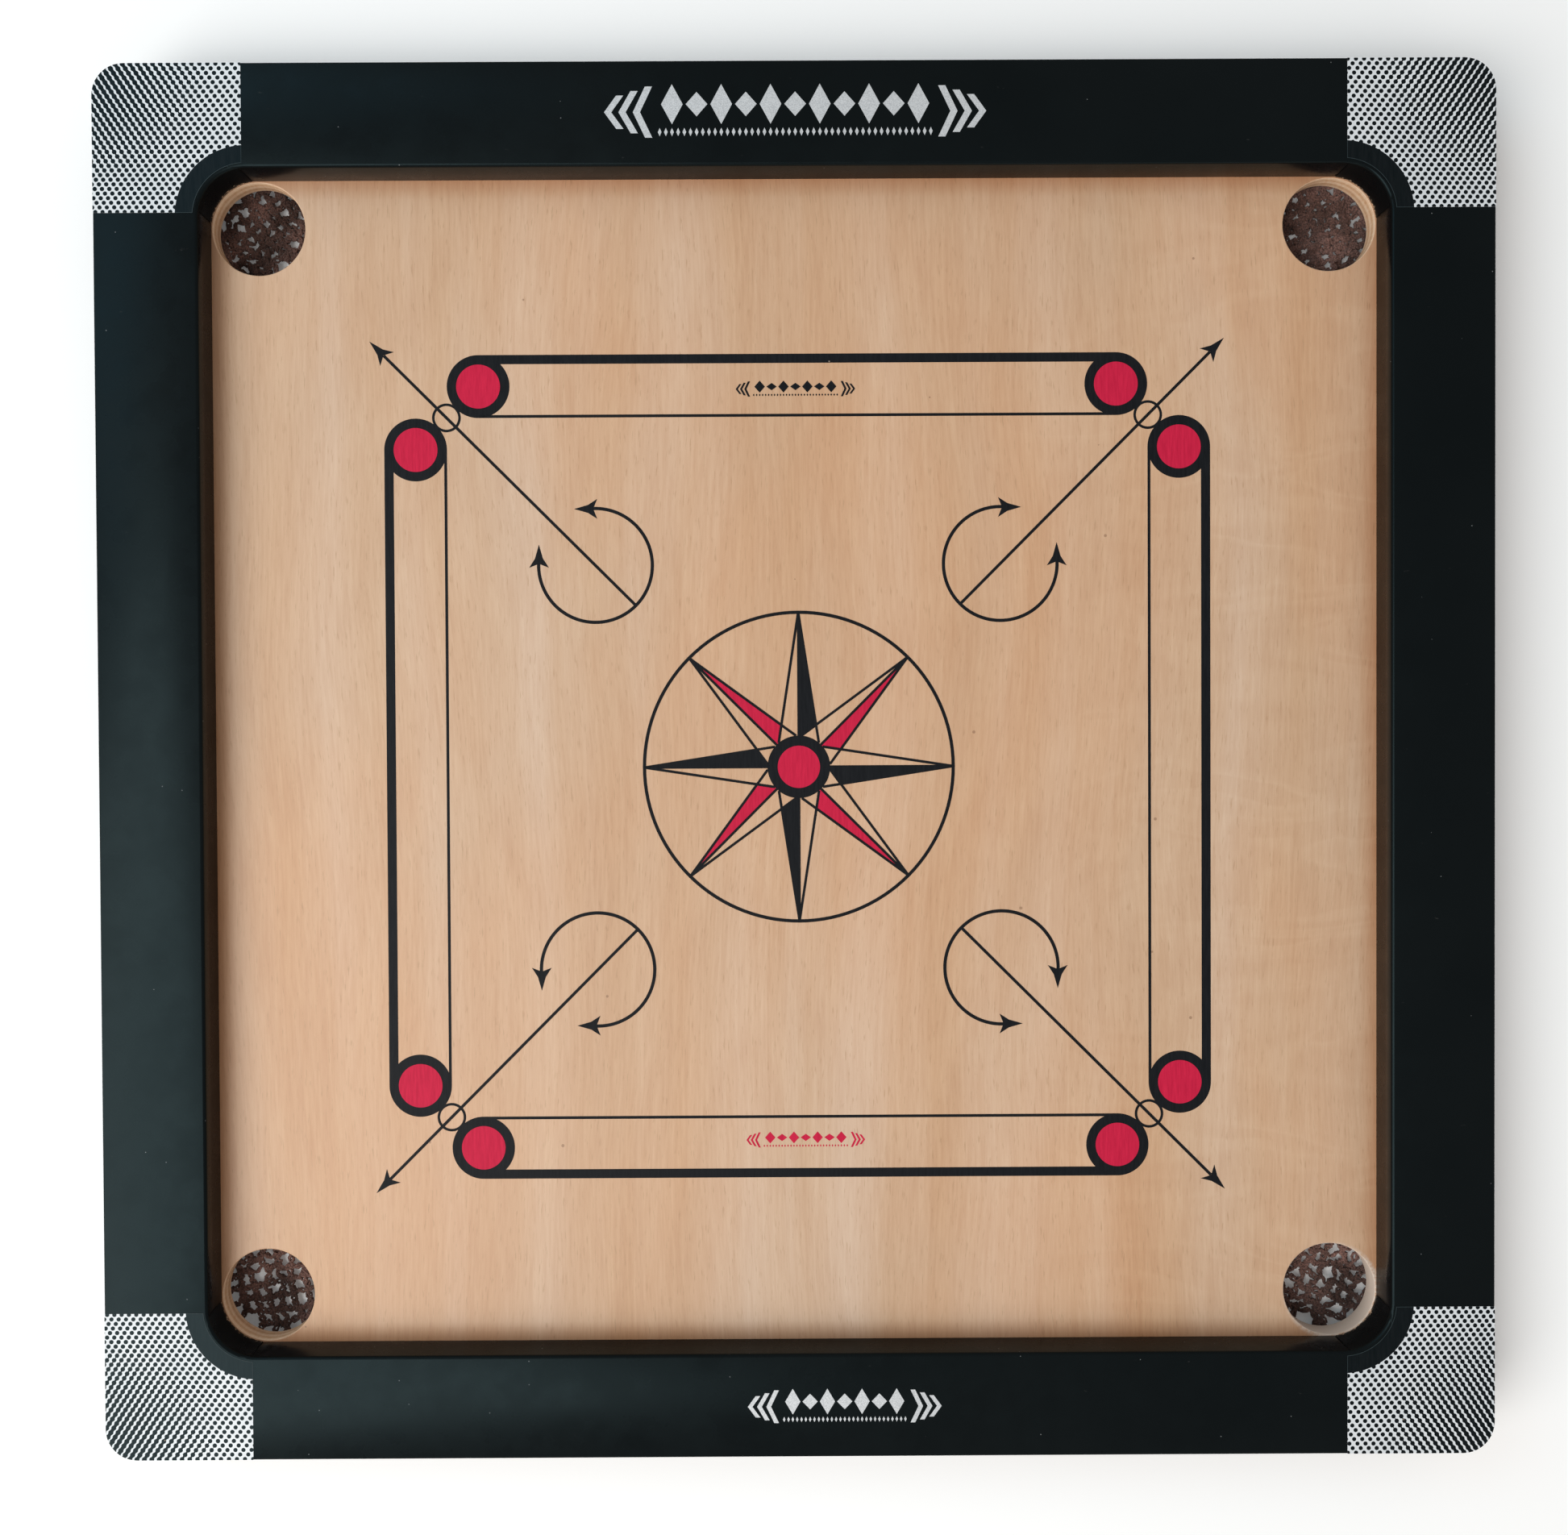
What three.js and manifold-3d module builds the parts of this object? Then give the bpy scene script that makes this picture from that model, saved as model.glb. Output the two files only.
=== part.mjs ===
// Carrom board: plywood playing panel in a mitred hardwood frame, with four corner pockets and nets.
// Millimetres, +Z up, origin at the centre of the frame's underside.
import * as THREE from 'three';
import { mergeVertices } from 'three/addons/utils/BufferGeometryUtils.js';
import Module from 'manifold-3d';

const wasm = await Module();
wasm.setup();

// Frame
const BOARD_SIDE = 660;
const RAIL_WIDTH = 49;
const BOARD_HEIGHT = 44;
const CUSHION_HEIGHT = 20;
const OUTER_CORNER_RADIUS = 15;
const OUTER_EDGE_ROUND = 0.5;
const INNER_EDGE_ROUND = 1.6;
const REBATE_DEPTH = 10;
const FIT_GAP = 0.3;

// Playing panel and pockets
const PANEL_THICKNESS = 12;
const POCKET_RADIUS = 22.25;
const POCKET_FROM_CUSHION = 23;

// Mitre splines, centred past the rebate's corner
const SPLINE = { length: 36, width: 24, thickness: 3, bottom: 10, pastRebate: 17 };

// Under-battens and their countersunk screws
const BATTEN = { width: 40, thickness: 11, spacing: 150 };
const BATTEN_SCREW = { x: 200, shank: 1.7, head: 3.6, rim: 0.5, cone: 2.2, sunk: 0.3, length: 19, point: 2 };
const SCREW_SIDES = 12;

// Screws that pull the panel up under the rail lips
const PANEL_SCREW = {
  shank: 1.5,
  head: 2.8,
  headHeight: 1.6,
  length: 23,
  point: 2,
  sides: SCREW_SIDES,
  boreEase: 0.5,
};
const SIDE_SCREW_OFFSET = 75;
const END_SCREW_OFFSET = 140;

// Pocket nets, their mouth cords and tacks
const NET = { hem: 29.2, hemThickness: 1, throat: 23.2, wall: 1.5, bend: 6, clearance: 0.8, sides: 24 };
const CORD = { radius: 30.6, tube: 1, drop: 1.3, sides: 6 };
const TACK = {
  circle: 27,
  shank: 0.8,
  head: 1.9,
  headHeight: 0.9,
  length: 7.5,
  point: 1,
  sides: 10,
  boreEase: 0,
};

// Printed corner films
const FILM = { side: 70, inset: 0.5, cutRadius: 25.2, thickness: 0.2 };

// Cutting tools run past what they cut
const OVERCUT = 1;
const BLANK_MARGIN = 20;

// The concave corner leaves the cushion line so gently that its first stretch would be paper thin
const BLOCK_SETBACK = 3.2;

const half = BOARD_SIDE / 2;
const cushion = half - RAIL_WIDTH;
const pocket = cushion - POCKET_FROM_CUSHION;
const panelTop = BOARD_HEIGHT - CUSHION_HEIGHT;
const panelBottom = panelTop - PANEL_THICKNESS;
const rebate = cushion + REBATE_DEPTH;
const panelHalf = rebate - FIT_GAP;
const battenBottom = panelBottom - BATTEN.thickness;
const hemBottom = panelBottom - NET.hemThickness;

const corners = [
  { tag: 'front_left', x: -1, y: -1 },
  { tag: 'front_right', x: 1, y: -1 },
  { tag: 'back_left', x: -1, y: 1 },
  { tag: 'back_right', x: 1, y: 1 },
];

function solid(geometry) {
  const bare = geometry.index ? geometry.toNonIndexed() : geometry.clone();
  bare.deleteAttribute('normal');
  bare.deleteAttribute('uv');
  const merged = mergeVertices(bare, 1e-4);
  const index = merged.index.array;
  const faces = [];
  for (let i = 0; i < index.length; i += 3) {
    const [a, b, c] = [index[i], index[i + 1], index[i + 2]];
    if (a !== b && b !== c && c !== a) faces.push(a, b, c);
  }
  return new wasm.Manifold(new wasm.Mesh({
    numProp: 3,
    vertProperties: new Float32Array(merged.attributes.position.array),
    triVerts: new Uint32Array(faces),
  }));
}

function box(x0, x1, y0, y1, z0, z1) {
  const g = new THREE.BoxGeometry(x1 - x0, y1 - y0, z1 - z0);
  g.translate((x0 + x1) / 2, (y0 + y1) / 2, (z0 + z1) / 2);
  return solid(g);
}

function cylinder(x, y, radius, z0, z1, segments) {
  const g = new THREE.CylinderGeometry(radius, radius, z1 - z0, segments);
  g.rotateX(Math.PI / 2);
  g.translate(x, y, (z0 + z1) / 2);
  return solid(g);
}

function turned(profile, sides, x = 0, y = 0) {
  const points = profile.map(([r, z]) => new THREE.Vector2(r, z));
  const g = new THREE.LatheGeometry(points, sides);
  g.rotateX(Math.PI / 2);
  g.translate(x, y, 0);
  return solid(g);
}

function roundedSquare(Path, h, r) {
  const p = new Path();
  p.moveTo(h, -h + r);
  p.lineTo(h, h - r);
  p.absarc(h - r, h - r, r, 0, Math.PI / 2, false);
  p.lineTo(-h + r, h);
  p.absarc(-h + r, h - r, r, Math.PI / 2, Math.PI, false);
  p.lineTo(-h, -h + r);
  p.absarc(-h + r, -h + r, r, Math.PI, 1.5 * Math.PI, false);
  p.lineTo(h - r, -h);
  p.absarc(h - r, -h + r, r, 1.5 * Math.PI, 2 * Math.PI, false);
  return p;
}

function prism(shape, z0, z1) {
  const g = new THREE.ExtrudeGeometry(shape, { depth: z1 - z0, bevelEnabled: false, curveSegments: 12 });
  g.translate(0, 0, z0);
  return solid(g);
}

// A horizontal plate on the mitre line of one corner, grown by a gap on every side.
function mitrePlate(corner, gap) {
  const g = new THREE.BoxGeometry(
    SPLINE.length + 2 * gap,
    SPLINE.width + 2 * gap,
    SPLINE.thickness + 2 * gap,
  );
  const along = rebate + SPLINE.pastRebate;
  g.rotateZ(Math.atan2(corner.y, corner.x));
  g.translate(corner.x * along, corner.y * along, SPLINE.bottom + SPLINE.thickness / 2);
  return solid(g);
}

// A pan-headed pin driven upwards, with its head under the seat.
function pin(size, seat) {
  return turned([
    [0, seat - size.headHeight],
    [size.head * 0.7, seat - size.headHeight],
    [size.head, seat - size.headHeight / 2],
    [size.head, seat],
    [size.shank, seat],
    [size.shank, seat + size.length - size.point],
    [0, seat + size.length],
  ], size.sides);
}

// The way drilled for a pin. An eased bore opens out at its mouth, where the burr is taken off.
function pinBore(size, seat, x, y) {
  const radius = size.shank + FIT_GAP;
  const mouth = radius + size.boreEase;
  const eased = [[mouth, seat], [radius, seat + size.boreEase]];
  return turned([
    [0, seat - OVERCUT],
    [mouth, seat - OVERCUT],
    ...(size.boreEase > 0 ? eased : []),
    [radius, seat + size.length - size.point + FIT_GAP],
    [0, seat + size.length + FIT_GAP],
  ], size.sides, x, y);
}

// A countersunk screw through a batten, or its bore where the gap isn't zero and it starts lower.
function battenScrew(gap, start, x, y) {
  const { shank, head, rim, cone, sunk, length, point } = BATTEN_SCREW;
  const coneBase = battenBottom + sunk + rim;
  return turned([
    [0, start],
    [head + gap, start],
    [head + gap, coneBase],
    [shank + gap, coneBase + cone],
    [shank + gap, battenBottom + length - point + gap],
    [0, battenBottom + length + gap],
  ], SCREW_SIDES, x, y);
}

const board = new THREE.Group();
board.name = 'carrom_board';

const finishes = {
  black_lacquer: { color: 0x202628, roughness: 0.35 },
  plywood: { color: 0xd9b692, roughness: 0.4 },
  spline_ply: { color: 0xc9a57a, roughness: 0.8 },
  batten_wood: { color: 0xc2a074, roughness: 0.8 },
  printed_film: { color: 0xdfe3e6, roughness: 0.4 },
  net_yarn: { color: 0x3a2624, roughness: 0.95 },
  mouth_cord: { color: 0x4a302c, roughness: 0.95 },
  steel: { color: 0xb4b4b0, roughness: 0.4, metalness: 1 },
};

function add(name, body, finish, x = 0, y = 0, turn = 0) {
  const mesh = body.getMesh();
  const g = new THREE.BufferGeometry();
  g.setAttribute('position', new THREE.BufferAttribute(mesh.vertProperties, 3));
  g.setIndex(new THREE.BufferAttribute(mesh.triVerts, 1));
  g.computeVertexNormals();
  const part = new THREE.Mesh(g, new THREE.MeshStandardMaterial(finishes[finish]));
  part.name = name;
  part.position.set(x, y, 0);
  part.rotation.z = turn;
  part.userData.materialSlot = finish;
  board.add(part);
}

// Screw and tack positions
const screwLine = (cushion + panelHalf) / 2;
const panelScrews = [];
for (const side of [-1, 1]) {
  for (const end of [-1, 1]) {
    panelScrews.push([side * screwLine, end * SIDE_SCREW_OFFSET]);
    panelScrews.push([end * END_SCREW_OFFSET, side * screwLine]);
  }
}

const battenLines = [-BATTEN.spacing, 0, BATTEN.spacing];
const battenScrews = battenLines.flatMap((y) => [[-BATTEN_SCREW.x, y], [BATTEN_SCREW.x, y]]);

const tacks = [45, 135, 225, 315].map((degrees) => {
  const angle = THREE.MathUtils.degToRad(degrees);
  return [TACK.circle * Math.cos(angle), TACK.circle * Math.sin(angle)];
});

// The frame as one ring with a crisp outer edge and a rounder inner one, later parted into rails and blocks
function edged(shape, round) {
  const g = new THREE.ExtrudeGeometry(shape, {
    depth: BOARD_HEIGHT - 2 * round,
    bevelEnabled: true,
    bevelThickness: round,
    bevelSize: round,
    bevelOffset: -round,
    bevelSegments: 3,
    curveSegments: 12,
  });
  g.translate(0, 0, round);
  return solid(g);
}

function frameRing() {
  const outside = roundedSquare(THREE.Shape, half, OUTER_CORNER_RADIUS);
  const pierced = roundedSquare(THREE.Shape, half + BLANK_MARGIN, OUTER_CORNER_RADIUS);
  pierced.holes.push(roundedSquare(THREE.Path, cushion, POCKET_FROM_CUSHION));
  return edged(pierced, INNER_EDGE_ROUND)
    .intersect(edged(outside, OUTER_EDGE_ROUND))
    .subtract(box(-rebate, rebate, -rebate, rebate, -OVERCUT, panelTop));
}

const ring = frameRing();
const above = BOARD_HEIGHT + OVERCUT;

// Rails, parted on the mitre lines
let railStock = ring.subtract(box(-cushion, cushion, -cushion, cushion, -OVERCUT, above));
for (const corner of corners) railStock = railStock.subtract(mitrePlate(corner, FIT_GAP));
for (const [x, y] of panelScrews) {
  railStock = railStock.subtract(pinBore(PANEL_SCREW, panelBottom, x, y));
}

const reach = half + BLANK_MARGIN;
const wedges = {
  rail_right: [[0, 0], [reach, -reach], [reach, reach]],
  rail_back: [[0, 0], [reach, reach], [-reach, reach]],
  rail_left: [[0, 0], [-reach, reach], [-reach, -reach]],
  rail_front: [[0, 0], [-reach, -reach], [reach, -reach]],
};
for (const [name, plan] of Object.entries(wedges)) {
  const wedge = new THREE.Shape(plan.map(([x, y]) => new THREE.Vector2(x, y)));
  add(name, railStock.intersect(prism(wedge, -OVERCUT, above)), 'black_lacquer');
}

// Corner blocks and mitre splines
const blockStart = pocket + BLOCK_SETBACK;
for (const corner of corners) {
  const xs = [corner.x * blockStart, corner.x * cushion].sort((a, b) => a - b);
  const ys = [corner.y * blockStart, corner.y * cushion].sort((a, b) => a - b);
  const block = ring.intersect(box(...xs, ...ys, panelTop, above));
  add('corner_block_' + corner.tag, block, 'black_lacquer');
  add('mitre_spline_' + corner.tag, mitrePlate(corner, 0), 'spline_ply');
}

// Playing panel
function playingPanel() {
  let panel = box(-panelHalf, panelHalf, -panelHalf, panelHalf, panelBottom, panelTop);
  for (const corner of corners) {
    const [cx, cy] = [corner.x * pocket, corner.y * pocket];
    panel = panel.subtract(cylinder(cx, cy, POCKET_RADIUS, panelBottom - OVERCUT, panelTop + OVERCUT, 64));
    for (const [x, y] of tacks) panel = panel.subtract(pinBore(TACK, hemBottom, cx + x, cy + y));
  }
  for (const [x, y] of panelScrews) panel = panel.subtract(pinBore(PANEL_SCREW, panelBottom, x, y));
  for (const [x, y] of battenScrews) {
    panel = panel.subtract(battenScrew(FIT_GAP, battenBottom - OVERCUT, x, y));
  }
  return panel;
}
add('playing_panel', playingPanel(), 'plywood');

// Battens under the panel, just clear of the ground
function underBatten(y) {
  const w = BATTEN.width / 2;
  const batten = box(-panelHalf, panelHalf, y - w, y + w, battenBottom, panelBottom);
  const bore = (x) => battenScrew(FIT_GAP, battenBottom - OVERCUT, x, y);
  return batten.subtract(bore(-BATTEN_SCREW.x)).subtract(bore(BATTEN_SCREW.x));
}
battenLines.forEach((y, i) => add('under_batten_' + (i + 1), underBatten(y), 'batten_wood'));

const sunkScrew = battenScrew(0, battenBottom + BATTEN_SCREW.sunk, 0, 0);
battenScrews.forEach(([x, y], i) => add('batten_screw_' + (i + 1), sunkScrew, 'steel', x, y));

const panScrew = pin(PANEL_SCREW, panelBottom);
panelScrews.forEach(([x, y], i) => add('panel_screw_' + (i + 1), panScrew, 'steel', x, y));

// A shallow round bag that hangs from a flat hem
function bend(radius, steps = 4) {
  const centre = [NET.throat + NET.wall - NET.bend, NET.clearance + NET.bend];
  return Array.from({ length: steps + 1 }, (_, i) => {
    const angle = (i / steps - 1) * (Math.PI / 2);
    return [centre[0] + radius * Math.cos(angle), centre[1] + radius * Math.sin(angle)];
  });
}

function pocketNet() {
  let net = turned([
    [0, NET.clearance],
    ...bend(NET.bend),
    [NET.throat + NET.wall, hemBottom],
    [NET.hem, hemBottom],
    [NET.hem, panelBottom],
    [NET.throat, panelBottom],
    ...bend(NET.bend - NET.wall).reverse(),
    [0, NET.clearance + NET.wall],
  ], NET.sides);
  for (const [x, y] of tacks) net = net.subtract(pinBore(TACK, hemBottom, x, y));
  return net;
}

function mouthCord() {
  const g = new THREE.TorusGeometry(CORD.radius, CORD.tube, CORD.sides, NET.sides);
  g.translate(0, 0, panelBottom - CORD.drop);
  return solid(g);
}

// The film of the back right corner, with its cut around the pocket
function cornerFilm() {
  const out = half - FILM.inset;
  const r = OUTER_CORNER_RADIUS - FILM.inset;
  const inner = half - FILM.side;
  const cutReach = Math.sqrt(FILM.cutRadius ** 2 - (pocket - inner) ** 2);
  const cutStart = Math.atan2(cutReach, inner - pocket);
  const film = new THREE.Shape();
  film.moveTo(inner, out);
  film.lineTo(inner, pocket + cutReach);
  film.absarc(pocket, pocket, FILM.cutRadius, cutStart, Math.PI / 2 - cutStart, true);
  film.lineTo(out, inner);
  film.lineTo(out, out - r);
  film.absarc(out - r, out - r, r, 0, Math.PI / 2, false);
  return prism(film, BOARD_HEIGHT, BOARD_HEIGHT + FILM.thickness);
}

// Nets, cords, tacks and films, corner by corner
const net = pocketNet();
const cord = mouthCord();
const tack = pin(TACK, hemBottom);
const film = cornerFilm();
for (const { tag, x, y } of corners) {
  add('pocket_net_' + tag, net, 'net_yarn', x * pocket, y * pocket);
  add('net_cord_' + tag, cord, 'mouth_cord', x * pocket, y * pocket);
  tacks.forEach(([tx, ty], i) => {
    add('net_tack_' + tag + '_' + (i + 1), tack, 'steel', x * pocket + tx, y * pocket + ty);
  });
  const quarterTurn = Math.atan2(y, x) - Math.PI / 4;
  add('corner_film_' + tag, film, 'printed_film', 0, 0, quarterTurn);
}

export default board;
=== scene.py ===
"""The looks of the carrom board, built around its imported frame. Metres, +Z up, far rail towards +Y."""
import math

import bmesh
import bpy
import numpy as np
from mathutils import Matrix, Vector


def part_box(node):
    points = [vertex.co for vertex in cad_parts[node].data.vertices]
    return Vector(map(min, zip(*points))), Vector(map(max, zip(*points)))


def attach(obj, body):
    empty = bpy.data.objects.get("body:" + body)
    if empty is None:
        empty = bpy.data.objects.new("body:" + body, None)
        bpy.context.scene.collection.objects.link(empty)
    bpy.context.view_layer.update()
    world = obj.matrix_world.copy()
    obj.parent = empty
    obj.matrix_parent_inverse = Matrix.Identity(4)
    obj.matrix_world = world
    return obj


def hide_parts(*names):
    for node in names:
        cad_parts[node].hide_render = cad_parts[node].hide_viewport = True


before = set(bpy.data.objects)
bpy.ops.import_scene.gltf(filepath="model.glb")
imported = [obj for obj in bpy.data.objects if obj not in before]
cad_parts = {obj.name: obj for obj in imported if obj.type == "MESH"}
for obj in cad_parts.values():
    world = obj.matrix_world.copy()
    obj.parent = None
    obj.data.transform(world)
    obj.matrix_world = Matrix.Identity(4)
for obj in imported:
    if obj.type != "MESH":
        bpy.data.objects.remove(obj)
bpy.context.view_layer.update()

MM = 0.001
CORNERS = {
    "front_left": (-1, -1),
    "front_right": (1, -1),
    "back_left": (-1, 1),
    "back_right": (1, 1),
}

# Places read from the frame
panel_low, panel_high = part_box("playing_panel")
rail_low, rail_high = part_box("rail_right")
net_low, net_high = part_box("pocket_net_back_right")
HALF = rail_high[0]
CUSHION = rail_low[0]
RAIL_TOP = rail_high[2]
PANEL_TOP = panel_high[2]
PANEL_UNDER = panel_low[2]
PANEL_HALF = panel_high[0]
POCKET = (net_low[0] + net_high[0]) / 2

# Two sizes that no box shows
POCKET_RADIUS = 22.25 * MM
OUTER_CORNER_RADIUS = 15 * MM


# ---------------------------------------------------------------- camera
def make_camera():
    data = bpy.data.cameras.new("camera")
    data.lens = 38.1
    data.shift_x = 0.0072
    data.shift_y = -0.0123
    camera = bpy.data.objects.new("camera", data)
    camera.location = (-0.0129, 0.0180, 0.8279)
    camera.rotation_euler = [math.radians(a) for a in (-0.813, -0.095, -0.288)]
    bpy.context.scene.collection.objects.link(camera)
    bpy.context.scene.camera = camera


make_camera()


# ---------------------------------------------------------------- materials
SOCKETS = {
    "specular": "Specular IOR Level",
    "tint": "Specular Tint",
    "sheen": "Sheen Weight",
    "sheen_roughness": "Sheen Roughness",
}


class Shader:
    """A principled material and the few nodes that the finishes below are mixed from."""

    def __init__(self, name, color, roughness, **sockets):
        self.material = bpy.data.materials.new(name)
        self.material.use_nodes = True
        self.nodes = self.material.node_tree.nodes
        self.links = self.material.node_tree.links
        self.bsdf = self.nodes["Principled BSDF"]
        self.bsdf.inputs["Base Color"].default_value = (*color, 1)
        self.bsdf.inputs["Roughness"].default_value = roughness
        for label, value in sockets.items():
            self.bsdf.inputs[SOCKETS.get(label, label.replace("_", " ").title())].default_value = value
        self.place = self.nodes.new("ShaderNodeTexCoord").outputs["Object"]

    def feed(self, socket, value):
        if isinstance(value, bpy.types.NodeSocket):
            self.links.new(value, socket)
        elif hasattr(value, "__len__") and len(value) == 3 and socket.type == "RGBA":
            socket.default_value = (*value, 1)
        else:
            socket.default_value = value

    def set(self, label, value):
        self.feed(self.bsdf.inputs[label], value)

    def stretched(self, scale, turn=0.0, vector=None):
        node = self.nodes.new("ShaderNodeMapping")
        node.inputs["Scale"].default_value = scale
        node.inputs["Rotation"].default_value = (0, 0, turn)
        self.links.new(vector or self.place, node.inputs["Vector"])
        return node.outputs["Vector"]

    def noise(self, vector, scale=1.0, detail=3.0, rough=0.5, distortion=0.0):
        node = self.nodes.new("ShaderNodeTexNoise")
        self.links.new(vector, node.inputs["Vector"])
        node.inputs["Scale"].default_value = scale
        node.inputs["Detail"].default_value = detail
        node.inputs["Roughness"].default_value = rough
        node.inputs["Distortion"].default_value = distortion
        return node.outputs["Fac"]

    def spots(self, scale, vector=None):
        node = self.nodes.new("ShaderNodeTexVoronoi")
        self.links.new(vector or self.place, node.inputs["Vector"])
        node.inputs["Scale"].default_value = scale
        return node.outputs["Distance"], node.outputs["Color"]

    def ramp(self, value, *stops):
        node = self.nodes.new("ShaderNodeValToRGB")
        self.links.new(value, node.inputs["Fac"])
        elements = node.color_ramp.elements
        while len(elements) < len(stops):
            elements.new(0.5)
        for element, (at, tone) in zip(elements, stops):
            element.position = at
            element.color = (*tone, 1) if hasattr(tone, "__len__") else (tone, tone, tone, 1)
        return node.outputs["Color"]

    def mix(self, amount, a, b, blend="MIX"):
        node = self.nodes.new("ShaderNodeMix")
        node.data_type = "RGBA"
        node.blend_type = blend
        self.feed(node.inputs[0], amount)
        self.feed(node.inputs[6], a)
        self.feed(node.inputs[7], b)
        return node.outputs[2]

    def math(self, operation, *values):
        node = self.nodes.new("ShaderNodeMath")
        node.operation = operation
        for socket, value in zip(node.inputs, values):
            self.feed(socket, value)
        return node.outputs[0]

    def axes(self, vector=None):
        node = self.nodes.new("ShaderNodeSeparateXYZ")
        self.links.new(vector or self.place, node.inputs[0])
        return node.outputs

    def near(self, point, inside, outside):
        """1 within the inside radius of a point of the board's plan, 0 beyond the outside radius."""
        x, y, _ = self.axes()
        dx = self.math("SUBTRACT", x, point[0])
        dy = self.math("SUBTRACT", y, point[1])
        square = self.math("ADD", self.math("MULTIPLY", dx, dx), self.math("MULTIPLY", dy, dy))
        distance = self.math("SQRT", square)
        node = self.nodes.new("ShaderNodeMapRange")
        self.links.new(distance, node.inputs["Value"])
        for label, value in {"From Min": inside, "From Max": outside, "To Min": 1, "To Max": 0}.items():
            node.inputs[label].default_value = value
        return node.outputs["Result"]

    def bump(self, height, strength, distance=0.0002):
        node = self.nodes.new("ShaderNodeBump")
        node.inputs["Strength"].default_value = strength
        node.inputs["Distance"].default_value = distance
        self.links.new(height, node.inputs["Height"])
        self.links.new(node.outputs["Normal"], self.bsdf.inputs["Normal"])


def wandering_grain(s):
    """The board's coordinates, swayed a little across the grain."""
    wander = s.noise(s.stretched((5, 2.2, 1)), detail=2)
    shifted = s.nodes.new("ShaderNodeVectorMath")
    shifted.operation = "MULTIPLY_ADD"
    s.links.new(wander, shifted.inputs[0])
    shifted.inputs[1].default_value = (0.05, 0, 0)
    s.links.new(s.place, shifted.inputs[2])
    return shifted.outputs["Vector"]


def veneer_tone(s, flow, bands, streaks):
    """Broad bands and clouds, then ever finer streaks and fibres."""
    dark, middle, light = (0.580, 0.353, 0.208), (0.614, 0.395, 0.252), (0.653, 0.447, 0.311)
    color = s.ramp(bands, (0.30, dark), (0.5, middle), (0.70, light))
    clouds = s.noise(s.stretched((7, 3, 1), vector=flow), detail=2, distortion=0.8)
    warm, cool = (0.56, 0.44, 0.36), (0.50, 0.54, 0.58)
    color = s.mix(0.34, color, s.ramp(clouds, (0.35, warm), (0.65, cool)), "OVERLAY")
    color = s.mix(0.22, color, s.ramp(streaks, (0.3, 0.36), (0.7, 0.66)), "SOFT_LIGHT")
    fibres = s.noise(s.stretched((620, 34, 1), turn=0.03, vector=flow), detail=4, rough=0.7)
    return s.mix(0.34, color, s.ramp(fibres, (0.34, 0.30), (0.66, 0.68)), "SOFT_LIGHT")


def veneer_figure(s, flow, color, flecks):
    """Dark flecks, growth lines, the right side's flame figure with its chatoyant sheen painted in as
    light and dark bands, and a few small dots.
    """
    fleck_mask = s.ramp(flecks, (0.60, 0.0), (0.70, 1.0))
    color = s.mix(s.math("MULTIPLY", fleck_mask, 0.42), color, (0.40, 0.23, 0.12))
    contour = s.noise(s.stretched((5.5, 1.1, 1), vector=flow), detail=1.5)
    growth = s.math("FRACT", s.math("MULTIPLY", contour, 13))
    color = s.mix(0.30, color, s.ramp(growth, (0.0, 0.45), (0.82, 0.60), (1.0, 0.45)), "SOFT_LIGHT")
    # Flame figure on the right side: its sheen is painted into the colour as fixed light and dark bands.
    figure_and_painted_sheen = s.noise(s.stretched((8, 24, 1), turn=0.2, vector=flow), detail=2, distortion=1.6)
    right_side = s.ramp(s.math("ADD", s.axes()[0], 0.5), (0.55, 0.0), (0.72, 1.0))
    amount = s.math("MULTIPLY", right_side, 0.35)
    color = s.mix(amount, color, s.ramp(figure_and_painted_sheen, (0.42, 0.46), (0.56, 0.62), (0.62, 0.48)), "SOFT_LIGHT")
    distance, tint = s.spots(46)
    chosen = s.math("GREATER_THAN", s.axes(tint)[0], 0.72)
    dot = s.math("MULTIPLY", s.math("LESS_THAN", distance, 0.035), chosen)
    return s.mix(s.math("MULTIPLY", dot, 0.55), color, (0.22, 0.11, 0.06))


def painted_cushion_shade(s, color):
    """Painted shade on the panel along the foot of the cushions, darker towards the walls."""
    cushion_shade_width = 9 * MM
    x, y, _ = s.axes()
    outward = s.math("MAXIMUM", s.math("ABSOLUTE", x), s.math("ABSOLUTE", y))
    from_cushion = s.math("MULTIPLY", s.math("SUBTRACT", CUSHION, outward), 1 / cushion_shade_width)
    return s.mix(1.0, color, s.ramp(from_cushion, (0.0, (0.86, 0.70, 0.60)), (1.0, (1, 1, 1))), "MULTIPLY")


def cut_plies(s):
    """Alternate plies with open end grain, paler in the front right pocket."""
    ply_pair = 4.8 * MM
    above = s.math("SUBTRACT", s.axes()[2], PANEL_UNDER)
    ply = s.math("GREATER_THAN", s.math("FRACT", s.math("MULTIPLY", above, 1 / ply_pair)), 0.5)
    fibre = s.noise(s.stretched((900, 900, 260)), detail=2)
    edge = s.mix(ply, (0.88, 0.62, 0.42), (0.74, 0.46, 0.27))
    edge = s.mix(0.5, edge, s.ramp(fibre, (0.3, 0.25), (0.7, 0.75)), "SOFT_LIGHT")
    return s.mix(s.near((POCKET, -POCKET), 24 * MM, 25 * MM), edge, (0.74, 0.60, 0.50))


def flaked_ring(s, color):
    """Bare wood round the far side of the front right pocket, where the lacquer has flaked off."""
    centre = (POCKET + 1.3 * MM, -POCKET - 1.1 * MM)
    ring = s.near(centre, 22.4 * MM, 24.4 * MM)
    flaky = s.noise(s.stretched((420, 420, 420)), detail=3, rough=0.7)
    flaky = s.ramp(flaky, (0.40, 0.25), (0.55, 1.0))
    return s.mix(s.math("MULTIPLY", ring, flaky), color, (0.72, 0.58, 0.48))


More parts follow.
